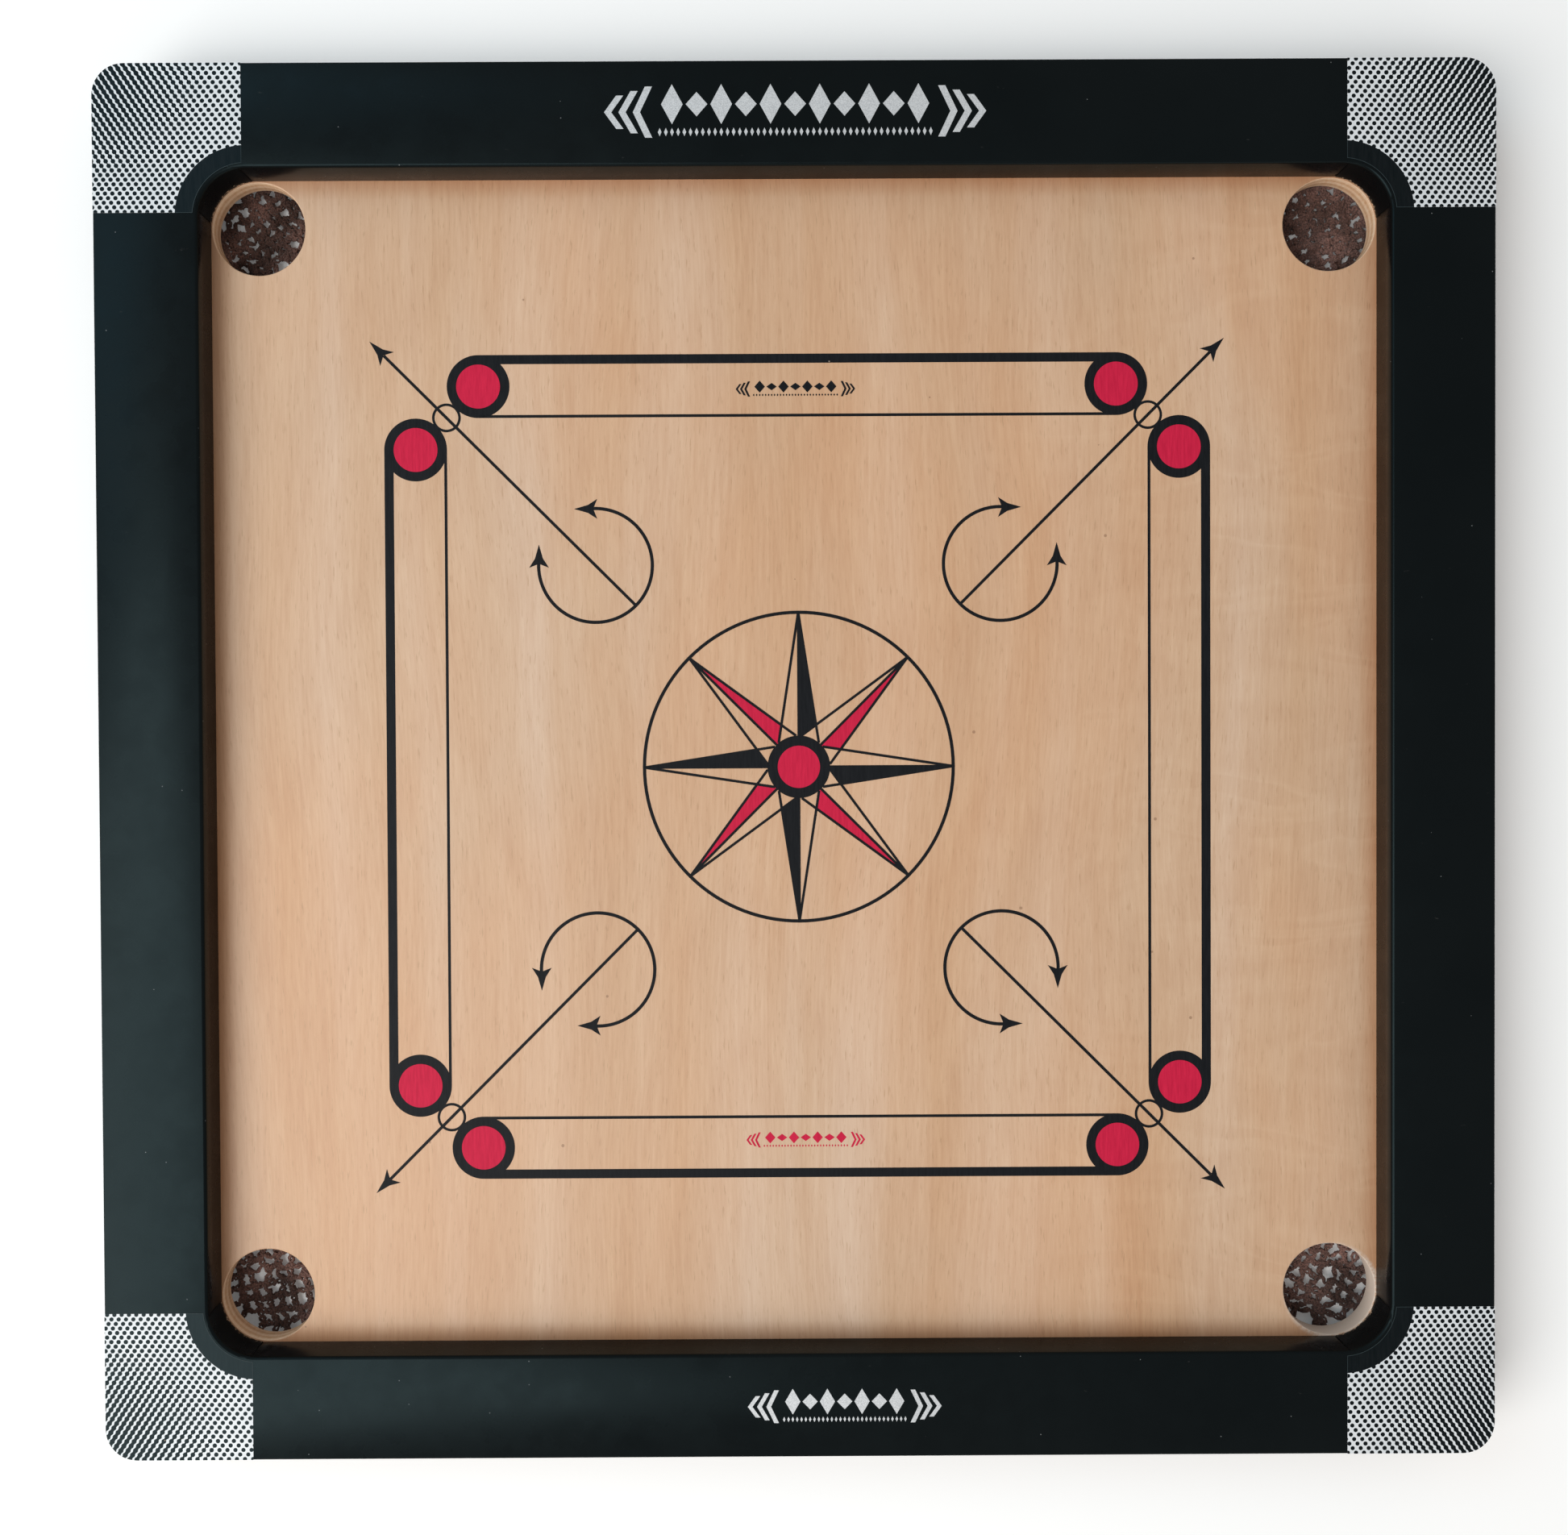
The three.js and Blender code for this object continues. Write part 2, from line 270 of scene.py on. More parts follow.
def plywood():
    """Lacquered face veneer with long soft bands along Y, alternate plies at cut edges, bare below."""
    s = Shader("plywood", (0.64, 0.42, 0.27), 0.36, specular=0.35)
    flow = wandering_grain(s)
    bands = s.noise(s.stretched((24, 1.5, 1), vector=flow), detail=3, rough=0.5)
    streaks = s.noise(s.stretched((210, 7, 1), vector=flow), detail=4, rough=0.6)
    flecks = s.noise(s.stretched((1150, 105, 1), turn=0.05, vector=flow), detail=2, rough=0.6)
    color = veneer_tone(s, flow, bands, streaks)
    color = veneer_figure(s, flow, color, flecks)
    # Painted shade along the foot of the cushions, then the bare wood round the front right pocket.
    color = flaked_ring(s, painted_cushion_shade(s, color))

    upward = s.axes(s.nodes.new("ShaderNodeNewGeometry").outputs["Normal"])[2]
    top = s.math("GREATER_THAN", upward, 0.8)
    under = s.math("LESS_THAN", upward, -0.8)
    bare = s.ramp(bands, (0.3, (0.46, 0.29, 0.16)), (0.7, (0.58, 0.40, 0.25)))
    color = s.mix(top, cut_plies(s), color)
    s.set("Base Color", s.mix(under, color, bare))
    s.set("Roughness", s.mix(top, (0.8, 0.8, 0.8), s.ramp(streaks, (0.2, 0.30), (0.8, 0.42))))
    s.bump(flecks, 0.10, 0.0001)
    return s.material


def black_lacquer(name="black_lacquer", worn_foot=False):
    """Satin black over planed wood: faint brushed waves, dust specks and small scuffs."""
    s = Shader(name, (0.003, 0.004, 0.005), 0.26, specular=0.13, tint=(0.58, 0.92, 1.0, 1))
    cloud = s.noise(s.place, 9, 3, 0.6)
    color = s.ramp(cloud, (0.3, (0.0026, 0.0030, 0.0034)), (0.7, (0.0040, 0.0046, 0.0050)))
    distance, tint = s.spots(210)
    chosen = s.math("GREATER_THAN", s.axes(tint)[0], 0.9)
    speck = s.math("MULTIPLY", s.math("LESS_THAN", distance, 0.05), chosen)
    color = s.mix(s.math("MULTIPLY", speck, 0.6), color, (0.30, 0.31, 0.32))
    scuff = s.noise(s.stretched((90, 240, 90), turn=0.6), detail=4, rough=0.7)
    scuff = s.ramp(scuff, (0.70, 0.0), (0.76, 1.0))
    color = s.mix(s.math("MULTIPLY", scuff, 0.10), color, (0.20, 0.19, 0.18))
    if worn_foot:
        z = s.axes()[2]
        ragged = s.noise(s.place, 700, 3, 0.7)
        height = s.math("SUBTRACT", z, PANEL_TOP)
        limit = s.math("MULTIPLY", s.math("SUBTRACT", ragged, 0.52), 14 * MM)
        chipped = s.math("LESS_THAN", height, limit)
        color = s.mix(chipped, color, (0.52, 0.36, 0.24))
    s.set("Base Color", color)
    s.set("Roughness", s.ramp(s.noise(s.place, 60, 3, 0.6), (0.3, 0.23), (0.7, 0.33)))
    s.bump(s.noise(s.place, 420, 2, 0.5), 0.05, 0.0001)
    return s.material


def raw_wood(name, light, dark, along_x):
    scale = (4, 130, 130) if along_x else (130, 4, 130)
    s = Shader(name, light, 0.8)
    grain = s.noise(s.stretched(scale), detail=4, rough=0.6, distortion=0.4)
    s.set("Base Color", s.ramp(grain, (0.32, dark), (0.68, light)))
    s.bump(s.noise(s.stretched(tuple(v * 4 for v in scale)), detail=3), 0.4, 0.0003)
    return s.material


def ink(name, tone, roughness=0.42, wear=0.06, **sockets):
    """A printed coat through which a little of the ground's grain shows."""
    s = Shader(name, tone, roughness, **({"specular": 0.1} | sockets))
    grain = s.noise(s.stretched((900, 90, 1)), detail=3, rough=0.6)
    lighter = tuple(min(1, v * 1.25 + 0.004) for v in tone)
    color = s.ramp(grain, (0.35, tone), (0.75, lighter))
    distance, tint = s.spots(150)
    pinhole = s.math("LESS_THAN", distance, wear)
    chosen = s.math("GREATER_THAN", s.axes(tint)[1], 0.93)
    color = s.mix(s.math("MULTIPLY", s.math("MULTIPLY", pinhole, chosen), 0.5), color, (0.5, 0.4, 0.32))
    s.set("Base Color", color)
    s.bump(grain, 0.05, 0.0001)
    return s.material


def printed_white():
    s = Shader("printed_white", (0.70, 0.73, 0.76), 0.36)
    cloud = s.noise(s.place, 30, 3)
    s.set("Base Color", s.ramp(cloud, (0.3, (0.66, 0.70, 0.73)), (0.7, (0.74, 0.765, 0.79))))
    s.bump(s.noise(s.place, 500, 2), 0.04, 0.0001)
    return s.material


def silver_print():
    s = Shader("silver_print", (0.62, 0.64, 0.66), 0.38, metallic=0.35)
    flake = s.noise(s.place, 2600, 2)
    s.set("Base Color", s.ramp(flake, (0.35, (0.50, 0.52, 0.54)), (0.65, (0.74, 0.76, 0.78))))
    s.bump(flake, 0.08, 0.0001)
    return s.material


def yarn(name, dark, light):
    s = Shader(name, dark, 0.95, specular=0.1, sheen=0.15, sheen_roughness=0.5)
    fuzz = s.noise(s.place, 1300, 4, 0.75)
    patch = s.noise(s.place, 55, 2)
    color = s.mix(s.ramp(patch, (0.35, 0.0), (0.65, 1.0)), dark, light)
    color = s.mix(0.9, color, s.ramp(fuzz, (0.36, 0.12), (0.64, 0.82)), "OVERLAY")
    s.set("Base Color", color)
    s.bump(fuzz, 0.8, 0.0005)
    return s.material


def zinc():
    s = Shader("zinc", (0.55, 0.55, 0.53), 0.38, metallic=1.0)
    bloom = s.noise(s.place, 350, 3)
    s.set("Roughness", s.ramp(bloom, (0.3, 0.28), (0.7, 0.5)))
    s.bump(bloom, 0.15, 0.0001)
    return s.material


PLYWOOD = plywood()
LACQUER = black_lacquer()
WORN_LACQUER = black_lacquer("black_lacquer_worn", worn_foot=True)
BLACK_INK = ink("black_ink", (0.006, 0.007, 0.009), 0.45)
RED_INK = ink("red_ink", (0.52, 0.012, 0.050), 0.45)
DOT_INK = ink("dot_ink", (0.003, 0.004, 0.005), 0.30, specular=0.14, tint=(0.6, 0.92, 1.0, 1))
# A thin light line painted along the film's cut edge, standing in for the highlight on that edge.
EDGE_HIGHLIGHT_INK = ink("cut_edge_highlight", (0.030, 0.044, 0.048), 0.35)
WHITE = printed_white()
SILVER = silver_print()
NET_YARN = yarn("net_yarn", (0.066, 0.035, 0.028), (0.235, 0.130, 0.108))
CORD_YARN = yarn("cord_yarn", (0.05, 0.028, 0.024), (0.10, 0.055, 0.048))
ZINC = zinc()
BATTEN_WOOD = raw_wood("batten_wood", (0.60, 0.42, 0.24), (0.42, 0.26, 0.13), along_x=True)


# ---------------------------------------------------------------- building
def place(name, mesh, material, replaced=(), smooth=None):
    piece = bpy.data.objects.new(name, mesh)
    bpy.context.scene.collection.objects.link(piece)
    mesh.materials.clear()
    mesh.materials.append(material)
    if smooth is not None:
        mesh.shade_smooth()
        mesh.set_sharp_from_angle(angle=math.radians(smooth))
    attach(piece, "root")
    if replaced:
        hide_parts(*replaced)
    return piece


def mesh_of(name, points, faces):
    mesh = bpy.data.meshes.new(name)
    mesh.from_pydata([tuple(p) for p in points], [], faces)
    mesh.update()
    return mesh


def welded_copy(node, name, material):
    """The node's own shape with its faces welded, so that its round stretches shade smoothly."""
    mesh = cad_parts[node].data.copy()
    work = bmesh.new()
    work.from_mesh(mesh)
    bmesh.ops.remove_doubles(work, verts=work.verts, dist=1e-6)
    work.to_mesh(mesh)
    work.free()
    return place(name, mesh, material, (node,), smooth=28)


def arc(cx, cy, radius, start, end, steps):
    """Points on an arc in millimetres, angles in degrees."""
    angles = np.radians(np.linspace(start, end, steps + 1))
    return [(cx + radius * math.cos(a), cy + radius * math.sin(a)) for a in angles]


def turned(points, quarter):
    c, s = [(1, 0), (0, 1), (-1, 0), (0, -1)][quarter % 4]
    return [(c * x - s * y, s * x + c * y) for x, y in points]


class Print:
    """Flat inked shapes on one surface. Each shape lies a hair above the last, so none share a plane."""

    STEP = 0.1e-6

    def __init__(self, level, offset=(0, 0)):
        self.level = level
        self.offset = offset
        self.points = []
        self.faces = []

    def shape(self, outline):
        area = sum(a[0] * b[1] - b[0] * a[1] for a, b in zip(outline, outline[1:] + outline[:1]))
        if area < 0:
            outline = outline[::-1]
        first = len(self.points)
        z = self.level + len(self.faces) * self.STEP
        for x, y in outline:
            self.points.append(((x + self.offset[0]) * MM, (y + self.offset[1]) * MM, z))
        self.faces.append(tuple(range(first, first + len(outline))))

    def disc(self, cx, cy, radius, sides=64):
        self.shape(arc(cx, cy, radius, 0, 360, sides)[:-1])

    def band(self, cx, cy, outer, inner, start=0, end=360, steps=72):
        out = arc(cx, cy, outer, start, end, steps)
        into = arc(cx, cy, inner, start, end, steps)
        for i in range(steps):
            self.shape([out[i], out[i + 1], into[i + 1], into[i]])

    def line(self, a, b, width):
        dx, dy = b[0] - a[0], b[1] - a[1]
        half = width / 2 / math.hypot(dx, dy)
        nx, ny = -dy * half, dx * half
        start = [(a[0] + nx, a[1] + ny), (a[0] - nx, a[1] - ny)]
        end = [(b[0] - nx, b[1] - ny), (b[0] + nx, b[1] + ny)]
        self.shape(start + end)

    def arrowhead(self, tip, heading, length, width, notch):
        """A barbed head with hollow sides. Heading in degrees."""
        outline = [(0, 0), (-0.6 * length, 0.2 * width), (-length, width / 2), (-notch, 0)]
        outline += [(-length, -width / 2), (-0.6 * length, -0.2 * width)]
        c, s = math.cos(math.radians(heading)), math.sin(math.radians(heading))
        self.shape([(tip[0] + c * x - s * y, tip[1] + s * x + c * y) for x, y in outline])

    def piece(self, name, material, slot, replaced=()):
        return place(name, mesh_of(name, self.points, self.faces), material, replaced)


def polar(radius, degrees):
    return (radius * math.cos(math.radians(degrees)), radius * math.sin(math.radians(degrees)))


def meet(a, b, c, d):
    """Where line a-b crosses line c-d."""
    r, s = (b[0] - a[0], b[1] - a[1]), (d[0] - c[0], d[1] - c[1])
    t = ((c[0] - a[0]) * s[1] - (c[1] - a[1]) * s[0]) / (r[0] * s[1] - r[1] * s[0])
    return (a[0] + t * r[0], a[1] + t * r[1])


# ---------------------------------------------------------------- frame and panel
def make_panel():
    """A plywood sheet with softened rims, from a flat curve pierced by the four pockets."""
    softening = 0.45 * MM
    curve = bpy.data.curves.new("panel_outline", "CURVE")
    curve.dimensions = "2D"
    curve.fill_mode = "BOTH"
    curve.extrude = (PANEL_TOP - PANEL_UNDER) / 2 - softening
    curve.bevel_depth = softening
    curve.bevel_resolution = 2
    curve.offset = -softening
    square = ((-1, -1), (1, -1), (1, 1), (-1, 1))
    outlines = [[(x * PANEL_HALF, y * PANEL_HALF) for x, y in square]]
    for sx, sy in CORNERS.values():
        outlines.append(arc(sx * POCKET, sy * POCKET, POCKET_RADIUS, 0, -360, 96)[:-1])
    for outline in outlines:
        spline = curve.splines.new("POLY")
        spline.points.add(len(outline) - 1)
        for point, (x, y) in zip(spline.points, outline):
            point.co = (x, y, 0, 1)
        spline.use_cyclic_u = True
    shape = bpy.data.objects.new("panel_shape", curve)
    bpy.context.scene.collection.objects.link(shape)
    mesh = bpy.data.meshes.new_from_object(shape.evaluated_get(bpy.context.evaluated_depsgraph_get()))
    bpy.data.objects.remove(shape)
    middle = (PANEL_TOP + PANEL_UNDER) / 2
    for vertex in mesh.vertices:
        vertex.co.z += middle
    place("playing_panel_wood", mesh, PLYWOOD, ("playing_panel",), smooth=35)


def make_frame():
    for side in ("left", "right", "front", "back"):
        rail = "rail_" + side
        welded_copy(rail, rail + "_lacquered", LACQUER)
    for tag in CORNERS:
        block = "corner_block_" + tag
        welded_copy(block, block + "_lacquered", WORN_LACQUER)


# ---------------------------------------------------------------- printed marks on the panel
STAR_RADIUS = 74.8
HUB_RADIUS = 15.15
RED_HUB_RADIUS = 10.25
SPIKE_SPREAD = 40
BASE_FAR = 184.4
BASE_END = 154.0
BASE_RADIUS = 15.15
BASE_RED_RADIUS = 10.6
BASE_THICK_LINE = 4.45
BASE_THIN_LINE = 1.4
PRINT_OFFSET = (1.0, -2.5)

# Heights of the inked layers over the panel
SPIKE_LEVEL = 0.03 * MM
LINE_LEVEL = 0.05 * MM
DISC_LEVEL = 0.16 * MM

# Distances along both axes from the middle to the parts of a corner arrow
ARROW_START = 78.8
ARROW_RING = 169.4
ARROW_END = 199.5
ARROW_TIP = 206.3
HOOK_CENTRE = 97.9
HOOK_ENDS = (10.2, 27.3)

# Outer and inner radii, line widths, and each head's length, width and notch
RING_RADII = (6.95, 5.7)
HOOK_RADII = (28.3, 26.7)
HOOK_SWEEP = (88, 362)
ARROW_LINE = 1.45
ARROW_HEAD = (12, 9.4, 9.5)
HOOK_HEAD = (11.2, 9.6, 9.3)
STAR_LINE = 1.25
STAR_RING_LINE = 1.6


def print_star(black, red, discs):
    black.band(0, 0, STAR_RADIUS + STAR_RING_LINE / 2, STAR_RADIUS - STAR_RING_LINE / 2, steps=120)
    for spike in range(8):
        axis = 90 - 45 * spike
        tip = polar(STAR_RADIUS, axis)
        right = polar(HUB_RADIUS, axis - SPIKE_SPREAD)
        left = polar(HUB_RADIUS, axis + SPIKE_SPREAD)
        next_tip = polar(STAR_RADIUS, axis - 45)
        next_left = polar(HUB_RADIUS, axis - 45 + SPIKE_SPREAD)
        corner = meet(tip, right, next_tip, next_left)
        filled = black if spike % 2 == 0 else red
        filled.shape([tip, corner, next_left, polar(HUB_RADIUS, axis)])
        for foot in (left, right, polar(HUB_RADIUS, axis)):
            black.line(tip, foot, STAR_LINE)
    black.disc(0, 0, HUB_RADIUS, 96)
    discs.disc(0, 0, RED_HUB_RADIUS, 72)


def print_bases(black, discs):
    for quarter in range(4):
        def at(*points):
            return turned(points, quarter)

        def strip(low, high):
            black.shape(at((-BASE_END, low), (BASE_END, low), (BASE_END, high), (-BASE_END, high)))

        outer = BASE_FAR + BASE_RADIUS
        inner = BASE_FAR - BASE_RADIUS
        strip(outer - BASE_THICK_LINE, outer)
        strip(inner, inner + BASE_THIN_LINE)
        for side in (-1, 1):
            (cx, cy), = at((side * BASE_END, BASE_FAR))
            black.disc(cx, cy, BASE_RADIUS, 96)
            discs.disc(cx, cy, BASE_RED_RADIUS, 72)


def print_corner_arrows(black):
    """A long arrow to each pocket, a small ring on it, and round its start a hook with two arrowheads."""
    for quarter in range(4):
        def at(*points):
            return turned(points, quarter)

        turn = 90 * quarter
        places = (ARROW_START, ARROW_RING, ARROW_END, ARROW_TIP, HOOK_CENTRE)
        start, ring, end, tip, hook = at(*((along, along) for along in places))
        black.band(*ring, *RING_RADII, steps=48)
        black.line(start, end, ARROW_LINE)
        black.arrowhead(tip, 45 + turn, *ARROW_HEAD)
        black.band(*hook, *HOOK_RADII, HOOK_SWEEP[0] + turn, HOOK_SWEEP[1] + turn, 80)
        near, far = (HOOK_CENTRE + reach for reach in HOOK_ENDS)
        above, beside = at((near, far), (far, near))
        black.arrowhead(above, turn, *HOOK_HEAD)
        black.arrowhead(beside, 90 + turn, *HOOK_HEAD)


def ornament(layer, cx, cy, length, height, count):
    """A plain border motif: a row of lozenges over a dotted line, closed by nested chevrons."""
    half_row = length * 0.36
    pitch = 2 * half_row / count

    def lozenge(x, y, half_width, half_height):
        layer.shape([(x + half_width, y), (x, y + half_height), (x - half_width, y), (x, y - half_height)])

    row_y = cy + height * 0.14
    for i in range(count):
        x = cx - half_row + (i + 0.5) * pitch
        tall = height * (0.36 if i % 2 == 0 else 0.22)
        lozenge(x, row_y, pitch * 0.44, tall)
    for i in range(4 * count + 1):
        lozenge(cx - half_row + i * pitch / 4, cy - height * 0.36, pitch * 0.075, height * 0.075)
    for side in (-1, 1):
        for step in range(3):
            x = cx + side * (half_row + pitch * 0.3 + step * height * 0.26)
            reach = side * height * 0.22
            tall = height * (0.46 - 0.08 * step)
            thick = side * height * 0.13
            layer.shape([(x, cy + tall), (x + thick, cy + tall), (x + thick + reach, cy), (x + reach, cy)])
            layer.shape([(x, cy - tall), (x + thick, cy - tall), (x + thick + reach, cy), (x + reach, cy)])


def make_panel_print():
    black = Print(PANEL_TOP + LINE_LEVEL, PRINT_OFFSET)
    halves = Print(PANEL_TOP + SPIKE_LEVEL, PRINT_OFFSET)
    discs = Print(PANEL_TOP + DISC_LEVEL, PRINT_OFFSET)
    lower = Print(PANEL_TOP + LINE_LEVEL, PRINT_OFFSET)
    print_bases(black, discs)
    print_corner_arrows(black)
    print_star(black, halves, discs)
    ornament(black, -0.8, 182.6, 56, 8, count=7)
    ornament(lower, 2.5, -181.3, 56, 8, count=7)
    black.piece("panel_print_black", BLACK_INK, "plywood")
    halves.piece("panel_print_red_spikes", RED_INK, "plywood")
    discs.piece("panel_print_red_discs", RED_INK, "plywood")
    lower.piece("panel_print_red_ornament", RED_INK, "plywood")


# ---------------------------------------------------------------- corner films
FILM_SIDE = 70.0
FILM_CUT = 25.2
DOT_EDGE = 33.5
ROW_PITCH = 2.16
COLUMN_PITCH = 3.40
COLUMN_SPREAD = 0.012
COLUMN_LEAN = 0.41
COLUMNS = range(-16, 24)
LATTICE_START = (0.9, 0.5)
DOT_RADIUS = 0.98
DOT_GROWTH = 0.30
DOT_GROWTH_REACH = 75
CHAIN_REACH = 52.0
CHAIN_WIDTH = 2.0
SWEEP_STEPS = 40
CUT_LINE = 0.22

# Heights of the film's layers over the rails
GROUND_LEVEL = 0.10 * MM
DOT_LEVEL = 0.12 * MM
BORDER_LEVEL = 0.16 * MM
CUT_LEVEL = 0.17 * MM


def clipped(outline, limit):
    """A convex outline cut to the inside of another, anticlockwise, convex one."""
    for a, b in zip(limit, limit[1:] + limit[:1]):
        kept = []
        inside = [(b[0] - a[0]) * (p[1] - a[1]) - (b[1] - a[1]) * (p[0] - a[0]) >= 0 for p in outline]
        for i, p in enumerate(outline):
            q, q_in = outline[(i + 1) % len(outline)], inside[(i + 1) % len(outline)]
            if inside[i]:
                kept.append(p)
            if inside[i] != q_in:
                kept.append(meet(p, q, a, b))
        outline = kept
        if len(outline) < 3:
            return []
    return outline


def film_frame():
    """The film's square, millimetres from its outer corner, with that corner rounded."""
    r = OUTER_CORNER_RADIUS / MM
    return arc(r, r, r, 180, 270, 10) + [(FILM_SIDE, 0), (FILM_SIDE, FILM_SIDE), (0, FILM_SIDE)]


def dot_centre(column, row):
    s = column + COLUMN_LEAN * row
    x = COLUMN_PITCH * s + COLUMN_SPREAD * s * s + LATTICE_START[0]
    return (x, ROW_PITCH * row + LATTICE_START[1])


def make_dots(layer, outline):
    """Dots on a leaning lattice that grow and link into chains towards the outer corner."""
    hole = (HALF - POCKET) / MM
    rows = int(FILM_SIDE / ROW_PITCH) + 2
    for row in range(-1, rows):
        for column in COLUMNS:
            x, y = dot_centre(column, row)
            if not (-2 < x < FILM_SIDE + 2 and -2 < y < FILM_SIDE + 2):
                continue
            if math.hypot(x - hole, y - hole) < DOT_EDGE - 1.2:
                continue
            away = math.hypot(x, y)
            radius = DOT_RADIUS + DOT_GROWTH * max(0.0, 1 - away / DOT_GROWTH_REACH)
            dot = clipped(arc(x, y, radius, 0, 360, 12)[:-1], outline)
            if dot:
                layer.shape(dot)
            neck = CHAIN_WIDTH * max(0.0, 1 - away / CHAIN_REACH) ** 0.6
            nx, ny = dot_centre(column, row + 1)
            if neck > 0.2:
                long = math.hypot(nx - x, ny - y)
                px, py = (y - ny) / long * neck / 2, (nx - x) / long * neck / 2
                link = [(x + px, y + py), (x - px, y - py), (nx - px, ny - py), (nx + px, ny + py)]
                link = clipped(link, outline)
                if link:
                    layer.shape(link)


def mirrored(layer, sx, sy):
    """Moves a layer drawn from an outer corner to the corner of the board with those signs."""
    layer.points = [(sx * (HALF - x), sy * (HALF - y), z) for x, y, z in layer.points]
    if sx * sy < 0:
        layer.faces = [face[::-1] for face in layer.faces]


def make_films():
    """White ground, black dots, a black border round the pocket, and a thin light line painted along the
    film's cut edge as its highlight.
    """
    frame_line = film_frame()
    hole = (HALF - POCKET) / MM
    past = hole - FILM_SIDE

    def sweep(radius):
        """Points along the border from one inner side of the film to the other."""
        lift = math.degrees(math.asin(past / radius))
        return arc(hole, hole, radius, 180 + lift, 270 - lift, SWEEP_STEPS)

    for tag, (sx, sy) in CORNERS.items():
        ground = Print(RAIL_TOP + GROUND_LEVEL)
        ground.shape(frame_line[:-3] + [(FILM_SIDE, 0)] + sweep(FILM_CUT + 0.4)[::-1] + [(0, FILM_SIDE)])
        dots = Print(RAIL_TOP + DOT_LEVEL)
        make_dots(dots, frame_line)
        border = Print(RAIL_TOP + BORDER_LEVEL)
        edge = Print(RAIL_TOP + CUT_LEVEL)
        outer, inner, beside = (sweep(radius) for radius in (DOT_EDGE, FILM_CUT, FILM_CUT + CUT_LINE))
        for i in range(SWEEP_STEPS):
            border.shape([outer[i], outer[i + 1], inner[i + 1], inner[i]])
            edge.shape([beside[i], beside[i + 1], inner[i + 1], inner[i]])
        for end in (0, -1):
            edge.line(outer[end], inner[end], 0.2)
        for layer, part, material in (
            (ground, "white", WHITE),
            (dots, "dots", DOT_INK),
            (border, "border", DOT_INK),
            (edge, "cut_edge_highlight", EDGE_HIGHLIGHT_INK),
        ):
            mirrored(layer, sx, sy)
            replaced = ("corner_film_" + tag,) if layer is ground else ()
            layer.piece("corner_film_" + tag + "_" + part, material, "printed_film", replaced)


# ---------------------------------------------------------------- ornaments on the rails
ORNAMENT_LEVEL = 0.06 * MM


def make_rail_ornaments():
    for name, centre, length, height, count in (
        ("rail_ornament_back", (0.4, 306.0), 177, 26, 11),
        ("rail_ornament_front", (21.0, -306.0), 80, 17, 7),
    ):
        layer = Print(RAIL_TOP + ORNAMENT_LEVEL)
        ornament(layer, *centre, length, height, count)
        layer.piece(name, SILVER, "printed_film")


# ---------------------------------------------------------------- nets
HEM_RADIUS = 29.3
HEM_HEIGHT = 10.9
NET_FLOOR = 1.7
NET_LOWEST = 0.8
NET_HIGHEST = 11.7
YARN_RADIUS = 0.60
PLAIT = 1.35
STRANDS = 4
CORD_RING = 30.6
CORD_HEIGHT = 10.7
CORD_RADIUS = 0.72

# How far apart the knots are in each pocket, and how strongly the knitting is rumpled
NET_STYLE = {
    "front_left": (6.7, 0.25, 8),
    "front_right": (6.7, 0.36, -25),
    "back_left": (5.3, 0.36, 35),
    "back_right": (4.5, 0.38, 12),
}


def net_knots(pitch, rumple, turn, rng):
    """Knots of a slack bag, keyed by row and column, in millimetres about the pocket's axis."""
    waves = [(rng.uniform(0.15, 0.55, 2) * rng.choice((-1, 1), 2), rng.uniform(0, 6.28)) for _ in range(6)]
    c, s = math.cos(math.radians(turn)), math.sin(math.radians(turn))
    knots = {}
    count = int(HEM_RADIUS / pitch) + 2
    for row in range(-count, count + 1):
        for column in range(-count, count + 1):
            u, v = rng.normal((column * pitch, row * pitch), rumple * pitch * 0.62)
            x, y = c * u - s * v, s * u + c * v
            reach = math.hypot(x, y)
            if reach > HEM_RADIUS - 1.5:
                continue
            climb = min(1, max(0, (reach - 19) / 9.5))
            ripple = sum(math.sin(k[0] * x + k[1] * y + phase) for k, phase in waves) / 6
            z = NET_FLOOR + 1.6 + 3.2 * rumple * 4 * abs(ripple) + 7.0 * climb * climb
            knots[row, column] = (x, y, min(z, HEM_HEIGHT - 0.6))
    return knots


def net_edges(knots):
    """Pairs of knots joined by a plait. A knot with no outer neighbour hangs from the hem."""
    edges = []
    for (row, column), knot in knots.items():
        for step in ((0, 1), (1, 0)):
            other = knots.get((row + step[0], column + step[1]))
            if other:
                edges.append((knot, other))
        neighbours = sum((row + a, column + b) in knots for a, b in ((0, 1), (1, 0), (0, -1), (-1, 0)))
        if neighbours < 4:
            angle = math.atan2(knot[1], knot[0])
            hem = (HEM_RADIUS * math.cos(angle), HEM_RADIUS * math.sin(angle), HEM_HEIGHT)
            edges.append((knot, hem))
    return edges


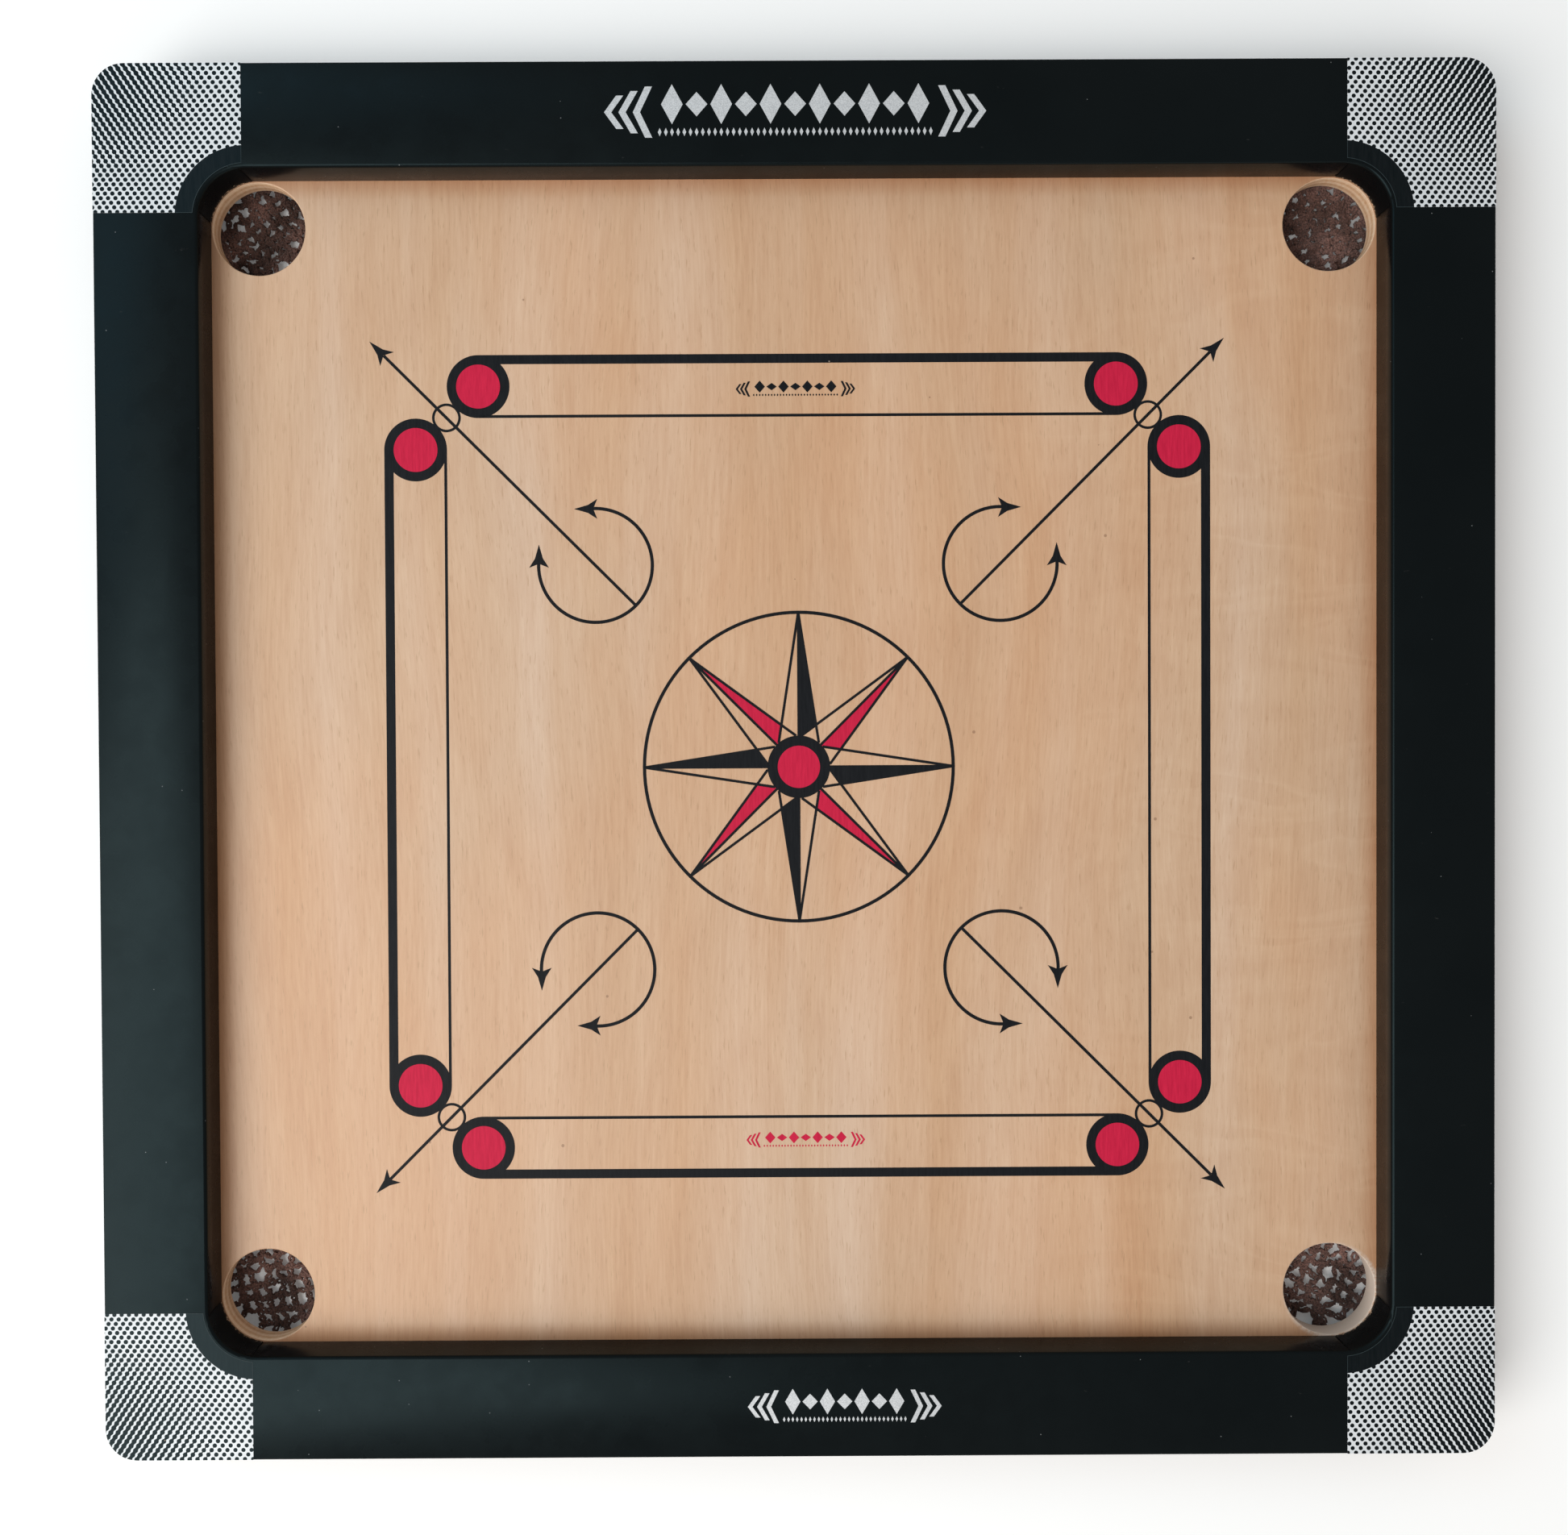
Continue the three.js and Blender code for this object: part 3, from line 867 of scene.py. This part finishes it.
def tubes(paths, radius, sides, twist, closed=False):
    """Two-ply yarn along each path: paths is strands x steps x 3, radius in the same unit."""
    tangent = np.gradient(paths, axis=1)
    if closed:
        tangent[:, 0] = tangent[:, -1] = paths[:, 1] - paths[:, -2]
    tangent /= np.linalg.norm(tangent, axis=2, keepdims=True) + 1e-9
    side = np.cross(tangent, (0, 0, 1))
    side /= np.linalg.norm(side, axis=2, keepdims=True) + 1e-9
    top = np.cross(side, tangent)
    steps = paths.shape[1]
    around = np.arange(sides) * 2 * math.pi / sides
    phase = np.arange(steps)[:, None] * twist
    swell = radius * (1 + 0.32 * np.cos(2 * (around[None, :] - phase)))
    across = (swell * np.cos(around))[None, :, :, None] * side[:, :, None, :]
    upward = (swell * np.sin(around))[None, :, :, None] * top[:, :, None, :]
    points = paths[:, :, None, :] + across + upward
    faces = []
    for strand in range(paths.shape[0]):
        base = strand * steps * sides
        for i in range(steps - 1):
            for j in range(sides):
                a, b = base + i * sides + j, base + i * sides + (j + 1) % sides
                faces.append((a, b, b + sides, a + sides))
        faces.append(tuple(base + j for j in range(sides))[::-1])
        faces.append(tuple(base + (steps - 1) * sides + j for j in range(sides)))
    return points.reshape(-1, 3), faces


def plaits(edges, rng):
    """Strands wound round each edge, with a little sway."""
    ends = np.array(edges)
    t = np.linspace(-0.06, 1.06, 10)[None, :, None]
    lines = ends[:, :1] * (1 - t) + ends[:, 1:] * t
    run = ends[:, 1] - ends[:, 0]
    side = np.cross(run, (0, 0, 1))
    side /= np.linalg.norm(side, axis=1, keepdims=True) + 1e-9
    sway = rng.normal(0, 0.5, (len(edges), 1, 1)) * side[:, None, :] * (4 * t * (1 - t))
    strands = []
    for strand in range(STRANDS):
        phase = 2 * math.pi * (strand / STRANDS + 1.15 * t) + rng.uniform(0, 6.28, (len(edges), 1, 1))
        weave = PLAIT * rng.uniform(0.7, 1.25, (len(edges), 1, 1)) * np.sin(phase) * side[:, None, :]
        lift = 1.0 * np.sin(2 * phase + strand) * np.array((0, 0, 1))
        strands.append(lines + sway + weave + lift)
    return np.concatenate(strands)


def make_net(tag, sx, sy, seed):
    rng = np.random.default_rng(seed)
    pitch, rumple, turn = NET_STYLE[tag]
    edges = net_edges(net_knots(pitch, rumple, turn, rng))
    points, faces = tubes(plaits(edges, rng), YARN_RADIUS, 6, 0.8)
    points[:, 2] = np.clip(points[:, 2], NET_LOWEST, NET_HIGHEST)
    points = points * MM + np.array([sx * POCKET, sy * POCKET, 0])
    name = "pocket_net_" + tag
    place(name + "_knitted", mesh_of(name, points, faces), NET_YARN, (name,), smooth=80)


def make_cord(tag, sx, sy):
    """The twisted cord round the outside of a net's hem."""
    turns = np.linspace(0, 2 * math.pi, 121)
    level = np.full_like(turns, CORD_HEIGHT)
    loop = np.stack([CORD_RING * np.cos(turns), CORD_RING * np.sin(turns), level], axis=1)[None]
    points, faces = tubes(loop, CORD_RADIUS, 8, 0.62, closed=True)
    points = points * MM + np.array([sx * POCKET, sy * POCKET, 0])
    name = "net_cord_" + tag
    place(name + "_twisted", mesh_of(name, points, faces), CORD_YARN, (name,), smooth=80)


# ---------------------------------------------------------------- hidden pieces, ground and light
HIDDEN_FINISHES = {
    "under_batten": BATTEN_WOOD,
    "mitre_spline": BATTEN_WOOD,
    "batten_screw": ZINC,
    "panel_screw": ZINC,
    "net_tack": ZINC,
}


def finish_cad_pieces():
    for name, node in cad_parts.items():
        for prefix, material in HIDDEN_FINISHES.items():
            if name.startswith(prefix):
                node.data.materials.clear()
                node.data.materials.append(material)


def make_ground():
    mesh = mesh_of("ground", [(-6, -6, 0), (6, -6, 0), (6, 6, 0), (-6, 6, 0)], [(0, 1, 2, 3)])
    ground = bpy.data.objects.new("ground", mesh)
    bpy.context.scene.collection.objects.link(ground)
    glow = {"emission_color": (1, 1, 1, 1), "emission_strength": 0.08}
    mesh.materials.append(Shader("ground", (0.96, 0.96, 0.96), 0.9, **glow).material)


def soft_light(name, place_at, size, aim, strength, tone):
    data = bpy.data.lights.new(name, "AREA")
    data.shape = "RECTANGLE"
    data.size, data.size_y = size
    data.energy = strength
    data.color = tone
    lamp = bpy.data.objects.new(name, data)
    lamp.location = place_at
    lamp.rotation_euler = (Vector(aim) - Vector(place_at)).to_track_quat("-Z", "Y").to_euler()
    bpy.context.scene.collection.objects.link(lamp)


def make_light():
    soft_light("window", (-1.65, -0.95, 2.3), (2.0, 2.6), (-0.7, -0.4, 0), 67, (1.0, 0.985, 0.96))
    soft_light("sky", (-1.6, 1.3, 2.0), (1.8, 1.4), (-0.5, 0.3, 0), 12, (0.45, 0.80, 1.0))
    soft_light("doorway", (0.6, -2.6, 0.75), (2.4, 0.8), (0, 0, 0), 8, (1.0, 0.96, 0.90))
    world = bpy.data.worlds.new("studio")
    world.use_nodes = True
    world.node_tree.nodes["Background"].inputs["Color"].default_value = (1.0, 0.97, 0.94, 1)
    world.node_tree.nodes["Background"].inputs["Strength"].default_value = 0.42
    bpy.context.scene.world = world
    bpy.context.scene.view_settings.view_transform = "Standard"


make_panel()
make_frame()
make_panel_print()
make_films()
make_rail_ornaments()
for number, (corner, signs) in enumerate(CORNERS.items()):
    make_net(corner, *signs, seed=11 + number)
    make_cord(corner, *signs)
finish_cad_pieces()
make_ground()
make_light()
